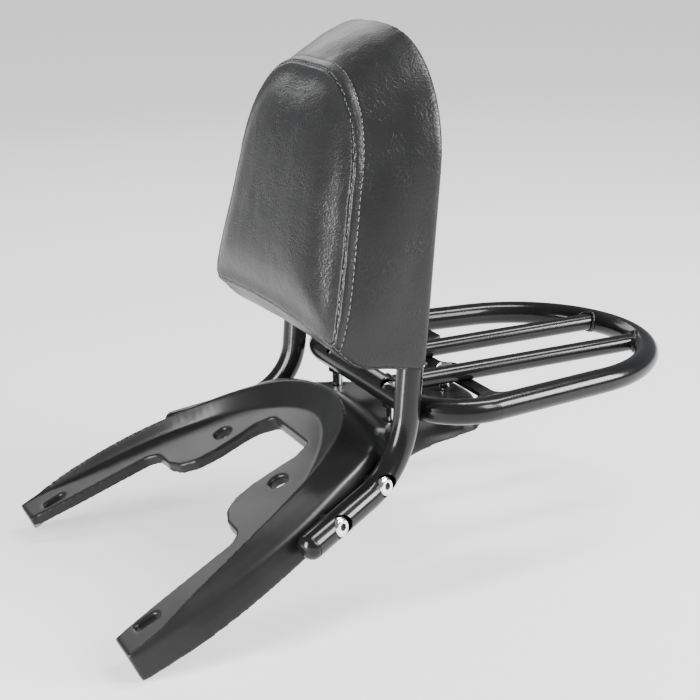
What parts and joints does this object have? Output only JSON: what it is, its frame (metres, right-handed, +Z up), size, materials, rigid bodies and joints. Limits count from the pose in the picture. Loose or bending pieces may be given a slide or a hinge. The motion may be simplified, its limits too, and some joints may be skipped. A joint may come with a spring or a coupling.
{
  "type": "sissy bar",
  "caption": "Motorbike passenger backrest with a padded hoop and a tubular luggage rack, on a cast horseshoe bracket.",
  "frame": {"origin": "midway between the bracket's two round holes, on the top face of its ledge", "axes": "+X across the bike, +Y to the rear where the rack lies, +Z up with the rack level"},
  "size_m": [0.3348, 0.5648, 0.4594],
  "materials": {
    "cast_black": "satin black coat on a casting",
    "tube_black": "glossy black powder coat",
    "chrome": "bright chrome",
    "zinc": "zinc plated",
    "leather": "black grained leather cover over foam",
    "board": "moulded black board"
  },
  "bodies": {
    "root": {"bracket": "cast_black", "hoop": "tube_black", "hoop_cap_right": "tube_black", "hoop_cap_left": "tube_black", "hoop_sleeves_right": "tube_black", "hoop_sleeves_left": "tube_black", "side_bolts_right": "chrome", "side_bolts_left": "chrome", "rack_loop": "tube_black", "rack_bar_right": "tube_black", "rack_bar_left": "tube_black", "rack_plate": "tube_black", "rack_sleeve_right": "tube_black", "rack_sleeve_left": "tube_black", "rack_bolt_right": "chrome", "rack_bolt_left": "chrome", "rack_bolt_rear": "chrome", "pad_cushion": "leather", "pad_board": "board", "pad_strap_upper": "tube_black", "pad_strap_lower": "tube_black", "pad_screws_upper": "zinc", "pad_screws_lower": "zinc", "pad_washers_upper": "zinc", "pad_washers_lower": "zinc"}
  },
  "joints": []
}
